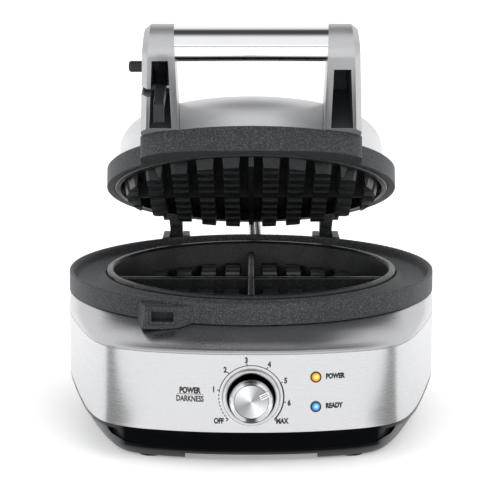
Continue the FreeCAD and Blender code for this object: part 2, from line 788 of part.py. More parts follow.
def arm_blank():
    # drawn on the left; the outer corners are cut to a flat bevel
    full = arm_profile()
    small = arm_inset(full, ARM_BEVEL)
    def ring(points, shift):
        corners = [V(arm_side_x(z) + shift, y, z) for y, z in points]
        return Part.makePolygon(corners + corners[:1])
    def flat(points, x):
        corners = [V(x, y, z) for y, z in points]
        return Part.makePolygon(corners + corners[:1])
    blank = Part.makeLoft([ring(small, 0), ring(full, ARM_BEVEL * 1.15), flat(full, -46)], True, True)
    inner = Part.makePolygon([V(-40, 0, 100), V(-ARM_INNER_X + 0.9, 0, 100),
                              V(-ARM_INNER_X - 1.4, 0, 190), V(-40, 0, 190), V(-40, 0, 100)])
    slab = Part.Face(inner).extrude(V(0, -220, 0))
    blank = blank.cut(slab)
    return blank.cut(dome_keepout())


def left_cavity():
    points = [(-119.5, 110.5), (-109.6, 121.0), (-99.0, 149.0), (-103.5, 158.6), (-113.0, 163.6),
              (-120.0, 165.2), (-137.5, 169.4), (-147.0, 168.4), (-152.5, 166.0),
              (-157.6, 160.6), (-175.0, 141.6)]
    return prism_x(points, -72, -54).common(slot_window())


def right_cavity():
    points = [(-119.5, 110.5), (-109.6, 121.0), (-99.0, 152.0), (-110.0, 158.0), (-130.0, 162.0),
              (-146.0, 160.0), (-151.4, 156.4), (-169.4, 135.8)]
    return mirror_x(prism_x(points, -72, -54).common(slot_window()))


def tube_socket(side):
    x0, x1 = (-TUBE_HALF - 0.1, -40) if side < 0 else (40, TUBE_HALF + 0.1)
    socket = cyl_x(TUBE_R + 0.05, x0, x1, TUBE_Y, TUBE_Z)
    r0, r1 = (-66.1, -50) if side < 0 else (50, 66.1)
    rod = cyl_x(3.05, r0, r1, TUBE_Y, TUBE_Z)
    return socket.fuse(rod)


def arm_screw_holes(side):
    holes = []
    for y in ARM_SCREW_Y:
        holes.append(cyl_z(1.75, 112, 128, side * ARM_SCREW_X[0], y))
    return holes


def handle_arm_left():
    arm = arm_blank()
    arm = arm.cut(left_cavity())
    arm = arm.cut(tube_socket(-1))
    notch = cyl_x(3.7, -90, LEVER_X[0], PIVOT_Y, PIVOT_Z)
    ux, uz = -0.64, -0.768
    mouth = prism_x([(PIVOT_Y - uz * 3.7, PIVOT_Z + ux * 3.7),
                     (PIVOT_Y + uz * 3.7, PIVOT_Z - ux * 3.7),
                     (PIVOT_Y + uz * 3.7 + ux * 14, PIVOT_Z - ux * 3.7 + uz * 14),
                     (PIVOT_Y - uz * 3.7 + ux * 14, PIVOT_Z + ux * 3.7 + uz * 14)],
                    -90, LEVER_X[0])
    arm = arm.cut(notch).cut(mouth)
    arm = arm.cut(peg_track())
    arm = arm.cut(cyl_x(1.5, LEVER_X[1], -52.6, PIVOT_Y, PIVOT_Z))
    for hole in arm_screw_holes(-1):
        arm = arm.cut(hole)
    return max(arm.Solids, key=lambda solid: solid.Volume)


def peg_track():
    reach = math.hypot(PEG_Y - PIVOT_Y, PEG_Z - PIVOT_Z)
    latched = math.atan2(PEG_Z - PIVOT_Z, PEG_Y - PIVOT_Y)
    out = math.radians(-LATCH_OUT_DEG)
    gap = PEG_R + 0.45
    def at(angle, radius):
        return (PIVOT_Y + radius * math.cos(angle), PIVOT_Z + radius * math.sin(angle))
    steps = 16
    inner = []
    outer = []
    for i in range(steps + 1):
        angle = latched + out * i / steps
        inner.append(at(angle, reach - gap))
        outer.append(at(angle, reach + gap))
    sector = prism_x(outer + inner[::-1], -90, LEVER_X[0])
    ends = []
    for angle in (latched, latched + out):
        y, z = at(angle, reach)
        ends.append(cyl_x(gap, -90, LEVER_X[0], y, z))
    return sector.fuse(ends[0]).fuse(ends[1])


def handle_arm_right():
    arm = mirror_x(arm_blank())
    arm = arm.cut(right_cavity())
    arm = arm.cut(tube_socket(1))
    for hole in arm_screw_holes(1):
        arm = arm.cut(hole)
    return arm


def handle_tube():
    outer = cyl_x(TUBE_R, -TUBE_HALF, TUBE_HALF, TUBE_Y, TUBE_Z)
    return outer.cut(cyl_x(TUBE_R - TUBE_WALL, -80, 80, TUBE_Y, TUBE_Z))


def handle_tie_rod():
    rod = cyl_x(3.0, -66, 66, TUBE_Y, TUBE_Z)
    return rod.makeChamfer(0.5, [e for e in rod.Edges if e.BoundBox.XLength < 0.01])


def arm_screw(x, y):
    return cyl_z(1.7, 112.5, 127.5, x, y)


# ---------- latch ----------

def latch_lever():
    # drawn hanging straight down, as it is when the catch holds the lid
    x0, x1 = LEVER_X
    hub = cyl_x(5.2, x0, x1, PIVOT_Y, PIVOT_Z)
    barrel = cyl_x(3.4, -73.1, x1, PIVOT_Y, PIVOT_Z)
    head = cyl_x(4.6, x0, x1, PEG_Y, PEG_Z)
    ay, az = PEG_Y - PIVOT_Y, PEG_Z - PIVOT_Z
    reach = math.hypot(ay, az)
    sy, sz = -az / reach, ay / reach
    crank = prism_x([(PIVOT_Y + sy * 4.8, PIVOT_Z + sz * 4.8), (PIVOT_Y - sy * 4.8, PIVOT_Z - sz * 4.8),
                     (PEG_Y - sy * 4.2, PEG_Z - sz * 4.2), (PEG_Y + sy * 4.2, PEG_Z + sz * 4.2)],
                    x0, x1)
    hook = prism_x([(PIVOT_Y - 4.2, PIVOT_Z), (PIVOT_Y + 4.2, PIVOT_Z),
                    (PIVOT_Y + 2.4, HOOK_Z + 4.5), (PIVOT_Y + 2.9, HOOK_Z + 2.0),
                    (-123.4, HOOK_Z + 1.6), (-122.6, HOOK_Z + 0.6), (-124.5, HOOK_Z - 2.2),
                    (PIVOT_Y - 1.5, HOOK_Z - 2.4), (PIVOT_Y - 3.3, HOOK_Z - 0.4)], x0, x1)
    lever = fuse([hub, barrel, head, crank, hook])
    lever = lever.cut(cyl_x(1.5 + RUNNING_GAP, -80, -50, PIVOT_Y, PIVOT_Z))
    lever = lever.cut(cyl_x(2.55, -80, -59.5, PEG_Y, PEG_Z))
    return lever


def latch_peg():
    peg = cyl_x(PEG_R, -83.6, LEVER_X[0] - 0.1, PEG_Y, PEG_Z)
    end = [e for e in peg.Edges if abs(e.BoundBox.XMax + 83.6) < 0.01]
    peg = peg.makeFillet(1.9, end)
    stem = cyl_x(2.5, -70, -59.8, PEG_Y, PEG_Z)
    return fuse([peg, stem])


def latch_pin():
    return cyl_x(1.5, -72.6, -52.8, PIVOT_Y, PIVOT_Z)


# ---------- front panel ----------

def knob_bezel():
    front = -158.2
    points = [(BEZEL_INNER_R, -150.0), (BEZEL_R, -150.0), (BEZEL_R, front - 0.7),
              (BEZEL_R - 0.7, front - 2.1), (BEZEL_R - 2.1, front - 2.7),
              (BEZEL_INNER_R + 0.7, front - 1.2), (BEZEL_INNER_R, front - 0.4)]
    ring = revolve_y(points, 0, KNOB_Z)
    disc = cyl_y(BEZEL_INNER_R + 0.5, -153.0, -150.0, 0, KNOB_Z)
    ring = fuse([ring, disc])
    return ring.cut(cyl_y(3.4, -160, -140, 0, KNOB_Z))


def knob():
    front = -171.6
    points = [(0, -154.6), (KNOB_R - 0.2, -154.6), (KNOB_R, -168.6), (KNOB_R - 0.5, front + 0.7),
              (KNOB_R - 1.4, front), (KNOB_DISC_R + 0.5, front + 0.5), (KNOB_DISC_R + 0.1, front + 0.9),
              (KNOB_DISC_R + 0.1, front + 2.6), (0, front + 2.6)]
    body = revolve_y(points, 0, KNOB_Z)
    body = body.cut(cyl_y(3.02, -167, -150, 0, KNOB_Z))
    return body.cut(pointer_block(0.0, 0.0))


def knob_disc():
    disc = revolve_y([(0, -169.9), (KNOB_DISC_R, -169.9), (KNOB_DISC_R, -170.6),
                      (KNOB_DISC_R - 0.3, -170.9), (0, -170.9)], 0, KNOB_Z)
    disc = disc.common(cyl_y(KNOB_DISC_R + 1, -171, -168.95, 0, KNOB_Z))
    return disc.cut(pointer_block(0.0, 0.0))


def pointer_block(grow, lift):
    bar = box(-2.0 - grow, 2.0 + grow, -172.3 - lift, -168.0, KNOB_Z + 6.6 - grow,
              KNOB_Z + KNOB_R - 1.2 + grow)
    bar.rotate(V(0, 0, KNOB_Z), V(0, 1, 0), POINTER_DEG)
    return bar


def knob_pointer():
    bar = box(-1.95, 1.95, -172.0, -168.05, KNOB_Z + 6.65, KNOB_Z + KNOB_R - 1.25)
    long = [e for e in bar.Edges if abs(e.BoundBox.YMin + 172.0) < 0.01
            and abs(e.BoundBox.YMax + 172.0) < 0.01]
    bar = bar.makeFillet(0.5, long)
    bar.rotate(V(0, 0, KNOB_Z), V(0, 1, 0), POINTER_DEG)
    return bar


def knob_shaft():
    return cyl_y(3.0, -166.5, -140.5, 0, KNOB_Z)


def thermostat():
    body = box(-19, 19, -147.2, -128, KNOB_Z - 17, KNOB_Z + 17)
    collar = cyl_y(5.5, -149.8, -147.0, 0, KNOB_Z)
    tabs = [box(-26, 26, -147.2, -145.8, KNOB_Z - 7, KNOB_Z + 7)]
    for x in (-11, 0, 11):
        tabs.append(box(x - 2.4, x + 2.4, -128.2, -120, KNOB_Z - 0.4, KNOB_Z + 0.4))
    out = fuse([body, collar] + tabs)
    return out.cut(cyl_y(3.0 + RUNNING_GAP, -160, -139.5, 0, KNOB_Z))


LAMP_FACE = -154.95


def lamp_holder(z):
    return revolve_y([(LAMP_R + 0.05, -148.2), (LAMP_R + 0.8, -148.2),
                      (LAMP_R + 0.8, LAMP_FACE - 0.5), (LAMP_R + 0.55, LAMP_FACE - 0.9),
                      (LAMP_R + 0.05, LAMP_FACE - 0.7)], LAMP_X, z)


def lamp_lens(z):
    r = LAMP_R
    points = [(0, -148.4), (r, -148.4), (r, LAMP_FACE - 0.3), (r * 0.9, LAMP_FACE - 1.0),
              (r * 0.7, LAMP_FACE - 1.5), (r * 0.4, LAMP_FACE - 1.85), (0, LAMP_FACE - 2.0)]
    return revolve_y(points, LAMP_X, z)


def indicator_board():
    board = box(29, 57, -146.6, -145.0, 29, 68)
    parts = [board]
    for z in LAMP_Z:
        parts.append(cyl_y(2.4, -147.6, -146.4, LAMP_X, z))
    parts.append(box(33, 39, -145.2, -141, 44, 53))
    parts.append(box(47, 53, -145.2, -139.5, 45, 55))
    return fuse(parts)


# ---------- inside the base, and the leads ----------

def terminal_block():
    body = box(-22, 22, 96, 112, 8.6, 24)
    for x in (-14, 0, 14):
        body = body.cut(cyl_z(3.0, 16, 30, x, 104))
        body = body.cut(cyl_y(2.0, 90, 118, x, 13.5))
    return body


def thermal_fuse():
    body = cyl_x(3.0, -14, 14, -30, 69.6)
    strap = box(-4, 4, -34.5, -25.5, 66.0, 67.0)
    sides = [box(-4, 4, -34.5, -33.3, 66.0, 72.9), box(-4, 4, -26.7, -25.5, 66.0, 72.9)]
    leads = [cyl_x(0.8, -24, 24, -30, 69.6)]
    return fuse([body, strap.fuse(sides[0]).fuse(sides[1]), box(-4, 4, -33.4, -26.6, 66.5, 68.5)]
                + leads)


def cord_gland():
    points = [(3.7, 136.0), (8.0, 136.0), (8.0, 143.4), (9.6, 143.4), (9.6, 145.4), (7.4, 146.2),
              (6.0, 153.0), (3.7, 153.0)]
    gland = revolve_y(points, 0, 40)
    flange = revolve_y([(3.7, 138.0), (10.0, 138.0), (10.0, 140.0), (3.7, 140.0)], 0, 40)
    return fuse([gland, flange])


LEAD_R = 2.3


def lead_path(x):
    # runs from the lid's rear wall, over the moat ring's wall, down into the base
    a = V(0, 100.0 - HINGE_Y, 111.6 - HINGE_Z)
    b = V(0, 110.5 - HINGE_Y, 111.6 - HINGE_Z)
    c = math.cos(math.radians(LID_OPEN_DEG))
    s = math.sin(math.radians(LID_OPEN_DEG))
    def turned(p):
        return V(x, HINGE_Y + p.y * c + p.z * s, HINGE_Z - p.y * s + p.z * c)
    start = turned(a)
    leave = turned(b)
    return [start, leave, V(x + 0.5, 130.5, 115.2), V(x + 1.1, 137.0, 105.5),
            V(x + 1.3, 138.4, 96.0), V(x + 0.9, 137.8, 86.0), V(x, 137.6, 76.0)]


def lead(x):
    curve = Part.BSplineCurve()
    curve.interpolate(lead_path(x))
    wire = Part.Wire(curve.toShape())
    start = curve.value(curve.FirstParameter)
    direction = curve.tangent(curve.FirstParameter)[0]
    ring = Part.Wire(Part.makeCircle(LEAD_R, start, direction))
    return wire.makePipeShell([ring], True, True)


def base_lead_grommet():
    outer = cyl_z(4.75, 78.5, 89.6, -3.4, 137.6).fuse(cyl_z(4.75, 78.5, 89.6, 3.4, 137.6))
    outer = outer.fuse(box(-3.4, 3.4, 132.85, 142.35, 78.5, 89.6))
    outer.translate(V(LEAD_CENTRE, 0, 0))
    for x in LEAD_X:
        outer = outer.cut(cyl_z(LEAD_R + 0.9, 60, 100, x + 0.45, 137.9))
    middle = LEAD_CENTRE + 0.45
    outer = outer.cut(box(middle - 2.4, middle + 2.4, 134.8, 141.0, 60, 100))
    return outer.cut(cyl_z(MOAT_R + 0.1, 85, 110, 0, 0))


def lid_lead_grommet():
    outer = cyl_y(4.5, 100.6, 107.6, -3.4, 111.6).fuse(cyl_y(4.5, 100.6, 107.6, 3.4, 111.6))
    outer = outer.fuse(box(-3.4, 3.4, 100.6, 107.6, 107.1, 116.1))
    outer.translate(V(LEAD_CENTRE, 0, 0))
    for x in LEAD_X:
        outer = outer.cut(cyl_y(LEAD_R + 0.5, 90, 120, x, 111.6))
    return outer.cut(box(LEAD_X[0], LEAD_X[1], 90, 120, 109.2, 114.0))


# ---------- write every node ----------

def pair(shape):
    return Part.makeCompound([shape, mirror_x(shape)])


def build_base():
    save("base_tray", base_tray())
    save("rubber_feet", Part.makeCompound([rubber_foot(x, y) for x, y in FOOT_SPOTS]))
    save("base_screws", Part.makeCompound([base_screw(x, y) for x, y in SCREW_SPOTS]))
    save("outer_band", outer_band())
    save("shoulder_cover", shoulder_cover())
    save("moat_ring", moat_ring())
    save("lower_plate", lower_plate())
    save("lower_element", element(69.2, 180))
    save("lower_reflector", reflector(62.1, 8.0, 93.0, (90, 210, 330), True))
    save("lower_plate_screws", Part.makeCompound([plate_screw(a, 61.1, True) for a in (90, 210, 330)]))
    save("thermal_fuse", thermal_fuse())
    save("thermostat", thermostat())
    save("indicator_board", indicator_board())
    save("terminal_block", terminal_block())
    save("knob_bezel", knob_bezel())
    save("lamp_holders", Part.makeCompound([lamp_holder(z) for z in LAMP_Z]))
    save("power_lens", lamp_lens(LAMP_Z[0]))
    save("ready_lens", lamp_lens(LAMP_Z[1]))
    save("cord_gland", cord_gland())
    bracket = hinge_bracket()
    save("hinge_bracket_left", bracket)
    save("hinge_bracket_right", mirror_x(bracket))
    save("hinge_pins", pair(hinge_pin()))
    save("base_lead_grommet", base_lead_grommet())
    save("heater_leads", Part.makeCompound([lead(x) for x in LEAD_X]))


def build_lid():
    save("lid_ring", open_lid(lid_ring()))
    save("lid_dome", open_lid(lid_dome()))
    save("upper_plate", open_lid(upper_plate()))
    save("upper_element", open_lid(element(117.0, 0)))
    save("upper_reflector", open_lid(reflector(125.0, 6.0, 89.4, (30, 150, 270), False)))
    screws = [plate_screw(a, 126.0, False) for a in (30, 150, 270)]
    save("upper_plate_screws", open_lid(Part.makeCompound(screws)))
    arm = hinge_arm()
    save("lid_hinge_arm_left", open_lid(arm))
    save("lid_hinge_arm_right", open_lid(mirror_x(arm)))
    save("handle_arm_left", open_lid(handle_arm_left()))
    save("handle_arm_right", open_lid(handle_arm_right()))
    save("handle_tube", open_lid(handle_tube()))
    save("handle_tie_rod", open_lid(handle_tie_rod()))
    screws = [arm_screw(s * ARM_SCREW_X[0], y) for s in (-1, 1) for y in ARM_SCREW_Y]
    save("handle_screws", open_lid(Part.makeCompound(screws)))
    save("latch_pin", open_lid(latch_pin()))
    save("lid_lead_grommet", open_lid(lid_lead_grommet()))


def build_latch():
    save("latch_lever", open_lid(swing_latch(latch_lever())))
    save("latch_peg", open_lid(swing_latch(latch_peg())))


def build_knob():
    save("knob", knob())
    save("knob_disc", knob_disc())
    save("knob_pointer", knob_pointer())
    save("knob_shaft", knob_shaft())


build_base()
build_lid()
build_latch()
build_knob()
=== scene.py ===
import json
import math

import bpy
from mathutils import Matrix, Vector
from mathutils.bvhtree import BVHTree


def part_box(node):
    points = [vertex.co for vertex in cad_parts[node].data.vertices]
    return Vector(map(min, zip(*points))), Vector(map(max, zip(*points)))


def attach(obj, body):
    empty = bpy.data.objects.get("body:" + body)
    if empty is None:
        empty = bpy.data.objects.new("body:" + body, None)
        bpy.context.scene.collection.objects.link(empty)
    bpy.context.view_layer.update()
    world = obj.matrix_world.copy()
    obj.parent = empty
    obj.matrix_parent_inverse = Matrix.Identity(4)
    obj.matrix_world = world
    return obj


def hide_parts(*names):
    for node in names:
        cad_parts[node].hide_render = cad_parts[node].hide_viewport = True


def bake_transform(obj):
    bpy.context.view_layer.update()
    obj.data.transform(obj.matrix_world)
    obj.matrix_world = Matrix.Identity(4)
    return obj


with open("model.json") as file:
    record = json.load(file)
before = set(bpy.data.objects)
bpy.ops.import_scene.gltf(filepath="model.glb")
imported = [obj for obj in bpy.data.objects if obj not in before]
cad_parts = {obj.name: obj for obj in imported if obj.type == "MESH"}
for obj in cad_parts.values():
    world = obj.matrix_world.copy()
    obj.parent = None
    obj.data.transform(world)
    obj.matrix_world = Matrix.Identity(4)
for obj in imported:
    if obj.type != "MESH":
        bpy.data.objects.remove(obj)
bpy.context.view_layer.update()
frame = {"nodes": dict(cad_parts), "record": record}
NODES = frame["nodes"]

# Named sizes, in metres and degrees.
MM = 0.001
# How far the feet lift the tray.
LIFT = 2.5 * MM
KNOB_Z = 48.2 * MM
KNOB_CENTRE = (0.0, 0.0, KNOB_Z)
POINTER_DEG = 63.6
BEZEL_FLOOR_R = 16.2 * MM
BEZEL_TONE = 0.66
# Where the painted shade in the recess along the front of the tray ends: each pair is a stretch over
# which it fades, to the left and right of the middle, down to the lower border, and towards the rear.
RECESS_SHADE_X = (86 * MM, 90 * MM)
RECESS_SHADE_Z = (5.5 * MM, 8.0 * MM)
RECESS_SHADE_Y = (-60 * MM, -50 * MM)
TRAY_SATIN = (0.020, 0.023, 0.026)
# The colour inside the recess: painted shade.
TRAY_RECESS_SHADE = (0.0012, 0.0015, 0.002)


# ---------------------------------------------------------------- materials

class Finish:
    """A material with one Principled shader, and short ways to add nodes in front of it."""

    def __init__(self, name, color, metallic=0.0, roughness=0.5, **sockets):
        self.mat = bpy.data.materials.new(name)
        self.mat.use_nodes = True
        self.tree = self.mat.node_tree
        self.shader = self.tree.nodes["Principled BSDF"]
        self.set("Base Color", (*color, 1.0))
        self.set("Metallic", metallic)
        self.set("Roughness", roughness)
        for socket, value in sockets.items():
            self.set(socket.replace("_", " "), value)
        self.bump_out = None

    def set(self, socket, value):
        self.shader.inputs[socket].default_value = value

    def node(self, kind, **values):
        made = self.tree.nodes.new(kind)
        for key, value in values.items():
            if key in made.inputs:
                made.inputs[key].default_value = value
            elif key.replace("_", " ") in made.inputs:
                made.inputs[key.replace("_", " ")].default_value = value
            else:
                setattr(made, key, value)
        return made

    def link(self, out, into):
        self.tree.links.new(out, into)

    def place(self, scale=(1, 1, 1), origin=(0, 0, 0)):
        """The piece's own coordinates in metres, measured from origin and then scaled."""
        coord = self.node("ShaderNodeTexCoord")
        move = self.node("ShaderNodeMapping", vector_type="POINT")
        move.inputs["Location"].default_value = [-v for v in origin]
        self.link(coord.outputs["Object"], move.inputs["Vector"])
        size = self.node("ShaderNodeMapping", vector_type="POINT")
        size.inputs["Scale"].default_value = scale
        self.link(move.outputs["Vector"], size.inputs["Vector"])
        return size.outputs["Vector"]

    def noise(self, at, scale, detail=3.0, rough=0.55):
        made = self.node("ShaderNodeTexNoise", Scale=scale, Detail=detail, Roughness=rough)
        self.link(at, made.inputs["Vector"])
        return made.outputs["Fac"]

    def spread(self, value, low, high, start=0.0, end=1.0):
        """value from start..end made into low..high."""
        made = self.node("ShaderNodeMapRange")
        made.inputs["From Min"].default_value = start
        made.inputs["From Max"].default_value = end
        made.inputs["To Min"].default_value = low
        made.inputs["To Max"].default_value = high
        self.link(value, made.inputs["Value"])
        return made.outputs["Result"]

    def ramp(self, value, stops):
        made = self.node("ShaderNodeValToRGB")
        line = made.color_ramp.elements
        while len(line) > 1:
            line.remove(line[0])
        line[0].position, line[0].color = stops[0][0], (*stops[0][1], 1.0)
        for where, colour in stops[1:]:
            more = line.new(where)
            more.color = (*colour, 1.0)
        self.link(value, made.inputs["Fac"])
        return made.outputs["Color"]

    def bump(self, height, strength, distance):
        made = self.node("ShaderNodeBump", Strength=strength, Distance=distance)
        self.link(height, made.inputs["Height"])
        if self.bump_out is not None:
            self.link(self.bump_out, made.inputs["Normal"])
        self.bump_out = made.outputs["Normal"]
        self.link(self.bump_out, self.shader.inputs["Normal"])

    def product(self, first, second):
        made = self.node("ShaderNodeMath", operation="MULTIPLY")
        self.link(first, made.inputs[0])
        self.link(second, made.inputs[1])
        return made.outputs[0]

    def tint(self, first, second):
        """Two colours multiplied."""
        made = self.node("ShaderNodeMix", data_type="RGBA", blend_type="MULTIPLY")
        made.inputs["Factor"].default_value = 1.0
        self.link(first, made.inputs["A"])
        self.link(second, made.inputs["B"])
        return made.outputs["Result"]

    def radius(self, at):
        """Distance from the origin of the coordinates at."""
        made = self.node("ShaderNodeVectorMath", operation="LENGTH")
        self.link(at, made.inputs[0])
        return made.outputs["Value"]

    def split(self, at):
        made = self.node("ShaderNodeSeparateXYZ")
        self.link(at, made.inputs[0])
        return made.outputs

    def tangent(self, axis):
        made = self.node("ShaderNodeTangent", direction_type="RADIAL", axis=axis)
        self.link(made.outputs["Tangent"], self.shader.inputs["Tangent"])

    def into(self, out, socket):
        self.link(out, self.shader.inputs[socket])


def grey(v):
    """A nearly neutral grey, a touch cool."""
    return (v, v * 1.005, v * 1.015)


def slate(v):
    """A dark grey that leans to blue-green, as the castings do."""
    return (v * 0.86, v * 0.98, v * 1.08)


def pale(v):
    """The same lean, weaker, for the flecks."""
    return (v * 0.93, v, v * 1.05)


def brushed(name, tone, roughness, scale, grain=0.05, aniso=0.0, axis=None, depth=0.006 * MM, metallic=1.0):
    """Brushed steel: fine streaks along the direction where scale is small."""
    f = Finish(name, grey(tone), metallic=metallic, roughness=roughness, Anisotropic=aniso)
    streak = f.noise(f.place(scale=scale), 1.0, detail=5.0, rough=0.6)
    broad = f.noise(f.place(scale=(9, 9, 14)), 1.0, detail=2.0)
    f.into(f.ramp(streak, [(0.25, grey(tone * (1 - grain))), (0.75, grey(min(1.0, tone * (1 + grain))))]),
           "Base Color")
    both = f.node("ShaderNodeMath", operation="ADD")
    f.link(f.spread(streak, roughness * 0.85, roughness * 1.12, 0.3, 0.7), both.inputs[0])
    f.link(f.spread(broad, -0.015, 0.02, 0.3, 0.7), both.inputs[1])
    f.into(both.outputs[0], "Roughness")
    if depth:
        f.bump(streak, 0.15, depth)
    if axis:
        f.tangent(axis)
    return f


def casting(name, tone, roughness):
    """Dark coated casting: a fine pale speckle over an orange-peel coat."""
    f = Finish(name, slate(tone), roughness=roughness, Specular_IOR_Level=0.3)
    at = f.place()
    fine = f.noise(at, 1050.0, detail=2.0, rough=0.6)
    peel = f.noise(at, 520.0, detail=3.0, rough=0.55)
    cloud = f.noise(at, 26.0, detail=3.0)
    specks = f.ramp(fine, [(0.36, slate(tone * 0.6)), (0.50, slate(tone)),
                           (0.60, pale(tone * 1.8)), (0.72, pale(tone * 2.9))])
    patches = f.ramp(cloud, [(0.3, (0.9, 0.9, 0.9)), (0.7, (1.08, 1.08, 1.08))])
    f.into(f.tint(specks, patches), "Base Color")
    f.into(f.spread(fine, roughness * 0.85, roughness * 1.2, 0.3, 0.7), "Roughness")
    f.bump(peel, 0.4, 0.22 * MM)
    f.bump(fine, 0.3, 0.12 * MM)
    return f


def moulded(name, color, roughness, texture=900.0, specular=0.5):
    """Moulded plastic or rubber with a fine texture and slight wear in its gloss."""
    f = Finish(name, color, roughness=roughness, Specular_IOR_Level=specular)
    at = f.place()
    fine = f.noise(at, texture, detail=3.0)
    cloud = f.noise(at, 35.0, detail=4.0)
    dim = tuple(c * 0.85 for c in color)
    lit = tuple(min(1.0, c * 1.12) for c in color)
    f.into(f.ramp(cloud, [(0.3, dim), (0.7, lit)]), "Base Color")
    f.into(f.spread(cloud, roughness * 0.82, min(1.0, roughness * 1.18), 0.3, 0.7), "Roughness")
    f.bump(fine, 0.3, 0.04 * MM)
    return f


def tray_plastic(name):
    """Black plastic, satin outside, with painted shade inside the recess along the front: a darker colour and
    less gloss.
    """
    f = moulded(name, TRAY_SATIN, 0.36, specular=0.42)
    at = f.split(f.place())
    inside = f.spread(at["X"], 1.0, 0.0, *RECESS_SHADE_X)
    bounds = (f.spread(at["X"], 0.0, 1.0, -RECESS_SHADE_X[1], -RECESS_SHADE_X[0]),
              f.spread(at["Z"], 0.0, 1.0, *RECESS_SHADE_Z),
              f.spread(at["Y"], 1.0, 0.0, *RECESS_SHADE_Y))
    for bound in bounds:
        inside = f.product(inside, bound)
    # Painted shade inside the recess: its gloss is cut and its colour darkened.
    f.into(f.spread(inside, 0.42, 0.03), "Specular IOR Level")
    f.into(f.ramp(inside, [(0.0, TRAY_SATIN), (1.0, TRAY_RECESS_SHADE)]), "Base Color")
    return f


def polished(name, tone, roughness):
    """Chrome with a faint haze of wiping marks."""
    f = Finish(name, grey(tone), metallic=1.0, roughness=roughness)
    haze = f.noise(f.place(scale=(60, 60, 60)), 1.0, detail=5.0)
    f.into(f.spread(haze, roughness * 0.5, roughness * 1.6, 0.3, 0.7), "Roughness")
    f.into(f.ramp(haze, [(0.3, grey(tone * 0.97)), (0.7, grey(tone))]), "Base Color")
    return f


def satin_paint(name, tone, roughness):
    """Silver paint on a casting: small metal flakes under a satin coat."""
    f = Finish(name, grey(tone), metallic=0.75, roughness=roughness, Coat_Weight=0.15, Coat_Roughness=0.3)
    at = f.place()
    flake = f.node("ShaderNodeTexVoronoi", Scale=2400.0)
    f.link(at, flake.inputs["Vector"])
    flecks = f.ramp(flake.outputs["Distance"], [(0.1, grey(tone * 1.12)), (0.6, grey(tone * 0.94))])
    f.into(flecks, "Base Color")
    soft = f.noise(at, 420.0, detail=2.0)
    f.into(f.spread(soft, roughness * 0.85, roughness * 1.15, 0.3, 0.7), "Roughness")
    f.bump(soft, 0.2, 0.03 * MM)
    return f


def lamp_glass(name, node, deep, mid, bright):
    """A lit lens: brightest a little above its middle and deeper in colour at its edge."""
    low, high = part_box(node)
    centre = (low + high) / 2
    f = Finish(name, mid, roughness=0.12, Coat_Weight=0.6, Coat_Roughness=0.05)
    reach = 1.0 / ((high.x - low.x) / 2)
    at = f.place(scale=(reach, 0.0, reach), origin=(centre.x, centre.y, centre.z))
    far = f.node("ShaderNodeVectorMath", operation="DISTANCE")
    # The glow's middle, in radii of the lens from its centre.
    far.inputs[1].default_value = (0.10, 0.0, 0.18)
    f.link(at, far.inputs[0])
    glow = f.ramp(far.outputs["Value"], [(0.0, bright), (0.42, mid), (0.95, deep)])
    f.into(glow, "Base Color")
    f.into(glow, "Emission Color")
    f.set("Emission Strength", 0.62)
    facets = f.noise(f.place(), 1400.0, detail=1.0)
    f.bump(facets, 0.15, 0.04 * MM)
    return f


def spun(name, tone, roughness, rings, fans):
    """Metal turned on the dial's axis: fine rings, with pale and dark patches painted into its colour by
    angle round the axis as painted reflection.
    """
    f = Finish(name, grey(tone), metallic=1.0, roughness=roughness, Anisotropic=0.8)
    at = f.place(origin=KNOB_CENTRE, scale=(1.0, 0.0, 1.0))
    ring = f.node("ShaderNodeMath", operation="MULTIPLY")
    ring.inputs[1].default_value = rings
    f.link(f.radius(at), ring.inputs[0])
    grain = f.node("ShaderNodeTexNoise", noise_dimensions="1D", Scale=1.0, Detail=4.0)
    f.link(ring.outputs[0], grain.inputs["W"])
    parts = f.split(at)
    angle = f.node("ShaderNodeMath", operation="ARCTAN2")
    f.link(parts["X"], angle.inputs[0])
    f.link(parts["Z"], angle.inputs[1])
    turn = f.spread(angle.outputs[0], 0.0, 1.0, -math.pi, math.pi)
    # Painted reflection: brightness set by the angle round the knob's axis.
    reflection_paint = f.ramp(turn, [(where, grey(min(1.0, tone * light))) for where, light in fans])
    lines = f.ramp(grain.outputs["Fac"], [(0.3, grey(0.86)), (0.7, grey(1.0))])
    f.into(f.tint(reflection_paint, lines), "Base Color")
    f.bump(grain.outputs["Fac"], 0.2, 0.01 * MM)
    f.tangent("Y")
    return f


def bezel_finish(name):
    """Brushed ring that is nearly black on its floor, where the knob shades it."""
    f = brushed(name, BEZEL_TONE, 0.24, (400, 400, 400), grain=0.03)
    far = f.radius(f.place(origin=KNOB_CENTRE, scale=(1.0, 0.0, 1.0)))
    shade = f.spread(far, 0.0, 1.0, BEZEL_FLOOR_R, BEZEL_FLOOR_R + 0.5 * MM)
    f.into(f.ramp(shade, [(0.0, grey(0.02)), (1.0, grey(BEZEL_TONE))]), "Base Color")
    return f


def braid_finish(name):
    """Steel wire, dull in the gaps and bright on the crowns."""
    f = Finish(name, grey(0.62), metallic=1.0, roughness=0.34)
    fine = f.noise(f.place(), 2600.0, detail=3.0)
    f.into(f.ramp(fine, [(0.3, grey(0.34)), (0.7, grey(0.74))]), "Base Color")
    f.into(f.spread(fine, 0.24, 0.5, 0.3, 0.7), "Roughness")
    f.bump(fine, 0.5, 0.08 * MM)
    return f


def ink(name, tone):
    """Black printing ink."""
    f = Finish(name, grey(tone), roughness=0.55)
    fine = f.noise(f.place(), 3000.0, detail=2.0)
    f.into(f.ramp(fine, [(0.3, grey(tone * 0.8)), (0.7, grey(tone * 1.4))]), "Base Color")
    f.into(f.spread(fine, 0.45, 0.62, 0.3, 0.7), "Roughness")
    return f


